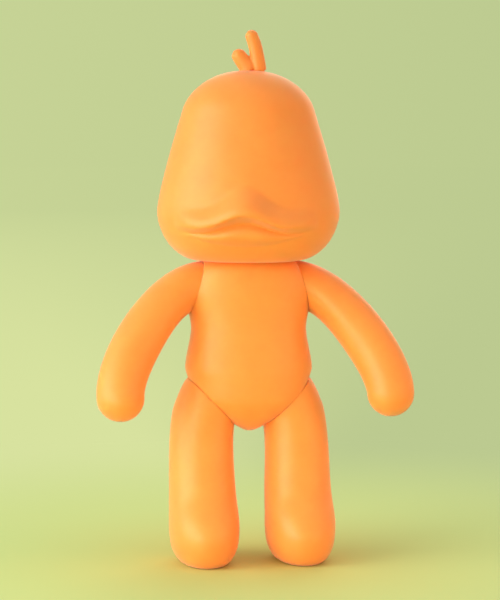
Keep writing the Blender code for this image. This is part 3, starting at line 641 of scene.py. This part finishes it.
def lookingRays(tree):  # what the camera sees, straight, in a shine or through something
    rays = addNode(tree, "ShaderNodeLightPath")
    bent = addNode(
        tree, "ShaderNodeMath", {"operation": "MAXIMUM"},
        links={0: rays.outputs["Is Glossy Ray"], 1: rays.outputs["Is Transmission Ray"]},
    )
    either = addNode(
        tree, "ShaderNodeMath", {"operation": "MAXIMUM"},
        links={0: rays.outputs["Is Camera Ray"], 1: bent.outputs["Value"]},
    )
    return either.outputs["Value"]


def paintedBackdropLight(tree, place):  # pale green, with painted light: lighter on the key lamp's side and less so far off
    aim = addNode(tree, "ShaderNodeVectorMath", {"operation": "NORMALIZE"}, links={0: place})
    parts = addNode(tree, "ShaderNodeSeparateXYZ", links={"Vector": aim.outputs["Vector"]})
    side = addNode(
        tree, "ShaderNodeMapRange", {"interpolation_type": "SMOOTHSTEP"},
        {"From Min": stage["turn"][0], "From Max": stage["turn"][1]}, {"Value": parts.outputs["X"]},
    )
    away = addNode(tree, "ShaderNodeVectorMath", {"operation": "LENGTH"}, links={0: place})
    share = addNode(
        tree, "ShaderNodeMapRange", {},
        {"From Min": stage["near"], "From Max": stage["far"], "To Min": 1.0, "To Max": stage["farShare"]},
        {"Value": away.outputs["Value"]},
    )
    lit = addNode(
        tree, "ShaderNodeMath", {"operation": "MULTIPLY"},
        links={0: side.outputs["Result"], 1: share.outputs["Result"]},
    )
    mixed = addNode(
        tree, "ShaderNodeMixRGB", {},
        {"Color1": hexColour(stage["right"]), "Color2": hexColour(stage["left"])},
        {"Fac": lit.outputs["Value"]},
    )
    return mixed.outputs["Color"], away.outputs["Value"]


def studioPaper():  # matt paper, which takes the shadow, carries painted warm bounce light and shade round the feet, and fades into the backdrop
    material, tree, shader = newMaterial("matt_studio_paper")
    place = addNode(tree, "ShaderNodeTexCoord").outputs["Object"]
    behind, away = paintedBackdropLight(tree, place)
    spread = addNode(
        tree, "ShaderNodeMapping", {"vector_type": "TEXTURE"},
        {"Scale": (stage["paintedBounceSize"],) * 3}, {"Vector": place},
    )
    # painted warm bounce light and shade, strongest under the figure and fading outwards
    patch = addNode(
        tree, "ShaderNodeTexGradient", {"gradient_type": "QUADRATIC_SPHERE"},
        links={"Vector": spread.outputs["Vector"]},
    )
    paintedBounce = addNode(
        tree, "ShaderNodeMixRGB", {"blend_type": "MULTIPLY"},
        {"Color1": hexColour(stage["paper"]), "Color2": hexColour(stage["glow"])},
        {"Fac": patch.outputs["Fac"]},
    )
    tree.links.new(paintedBounce.outputs["Color"], shader.inputs["Base Color"])
    shader.inputs["Roughness"].default_value = stage["roughness"]
    shader.inputs["Specular IOR Level"].default_value = stage["shine"]
    fade = addNode(
        tree, "ShaderNodeMapRange", {"interpolation_type": "SMOOTHSTEP"},
        {"From Min": stage["fade"][0], "From Max": stage["fade"][1]}, {"Value": away},
    )
    seen = addNode(
        tree, "ShaderNodeMath", {"operation": "MULTIPLY"},
        links={0: fade.outputs["Result"], 1: lookingRays(tree)},
    )
    # the backdrop shown to looking rays, with its painted light
    glow = addNode(tree, "ShaderNodeEmission", links={"Color": behind})
    mixed = addNode(
        tree, "ShaderNodeMixShader",
        links={0: seen.outputs["Value"], 1: shader.outputs["BSDF"], 2: glow.outputs["Emission"]},
    )
    tree.links.new(mixed.outputs["Shader"], tree.nodes["Material Output"].inputs["Surface"])
    return material


def buildStage():
    bm = bmesh.new()
    bmesh.ops.create_circle(bm, cap_ends=True, segments=stage["segments"], radius=stage["reach"])
    mesh = bpy.data.meshes.new("floor")
    bm.to_mesh(mesh)
    bm.free()
    mesh.materials.append(studioPaper())
    floor = bpy.data.objects.new("floor", mesh)
    scene.collection.objects.link(floor)
    print("stage ready")


buildStage()


# lights, in metres, watts and degrees
lights = {
    "key": {
        "place": (-1.5, -0.45, 0.42), "aim": (0, 0, 0.13),
        "size": 1.7, "power": 35.5, "colour": "#FFF3E6", "spread": 180,
    },
    "fill": {
        "place": (1.6, -0.7, 0.5), "aim": (0, 0, 0.13),
        "size": 1.2, "power": 10.0, "colour": "#FF9058", "spread": 180,
    },
    "back": {
        "place": (0.7, 1.6, 0.8), "aim": (0, 0, 0.13),
        "size": 1.6, "power": 13.0, "colour": "#FFEAD6", "spread": 180,
    },
    "low": {  # small lamps near the floor, for the feet
        "place": (-0.32, -0.42, 0.04), "aim": (0, 0, 0.02),
        "size": 0.2, "power": 0.11, "colour": "#FFF0CC", "spread": 45,
    },
    "lowFill": {
        "place": (0.36, -0.4, 0.05), "aim": (0, 0, 0.02),
        "size": 0.2, "power": 0.046, "colour": "#FFC49C", "spread": 45,
    },
}
room = {"colour": "#F6FAEC", "strength": 0.59}


def addLamp(name, look):
    lamp = bpy.data.lights.new(name, "AREA")
    lamp.shape = "DISK"
    lamp.size = look["size"]
    lamp.energy = look["power"]
    lamp.spread = math.radians(look["spread"])
    lamp.color = hexColour(look["colour"])[:3]
    holder = bpy.data.objects.new(name, lamp)
    holder.location = look["place"]
    aim = Vector(look["aim"]) - holder.location
    holder.rotation_euler = aim.to_track_quat("-Z", "Y").to_euler()
    scene.collection.objects.link(holder)


def buildRoom():  # an even glow, with the backdrop, painted lighter on the key lamp's side, where the camera looks past the floor
    world = bpy.data.worlds.new("room")
    world.use_nodes = True
    tree = world.node_tree
    sky = tree.nodes["Background"]
    sky.inputs["Color"].default_value = hexColour(room["colour"])
    sky.inputs["Strength"].default_value = room["strength"]
    place = addNode(tree, "ShaderNodeTexCoord").outputs["Generated"]
    distant = addNode(
        tree, "ShaderNodeVectorMath", {"operation": "SCALE"}, {"Scale": stage["reach"]}, {0: place}
    )
    behind = paintedBackdropLight(tree, distant.outputs["Vector"])[0]
    seen = addNode(tree, "ShaderNodeBackground", links={"Color": behind})
    mixed = addNode(
        tree, "ShaderNodeMixShader",
        links={0: lookingRays(tree), 1: sky.outputs["Background"], 2: seen.outputs["Background"]},
    )
    tree.links.new(mixed.outputs["Shader"], tree.nodes["World Output"].inputs["Surface"])
    scene.world = world


for name, look in lights.items():
    addLamp(name, look)
buildRoom()
print("lights ready")


# camera
view = {
    "azimuth": -9.0, "pitch": 4.675,  # degrees, round the figure and downwards
    "distance": 1.1, "height": 0.215, "clip": 0.05,  # metres
    "lens": 137.4, "shift": 0.0025,  # mm on a 36 mm sensor along the picture's height, and a share of it
}


def buildCamera():
    camera = bpy.data.objects.new("camera", bpy.data.cameras.new("camera"))
    camera.data.lens = view["lens"]
    camera.data.shift_x = view["shift"]
    camera.data.clip_start = view["clip"]
    turn = math.radians(view["azimuth"])
    camera.location = midLine + Vector((
        view["distance"] * math.sin(turn), -view["distance"] * math.cos(turn), view["height"]
    ))
    camera.rotation_euler = (math.radians(90 - view["pitch"]), 0, turn)
    scene.collection.objects.link(camera)
    scene.camera = camera
    print("camera ready")


buildCamera()
scene.view_settings.view_transform = "Standard"
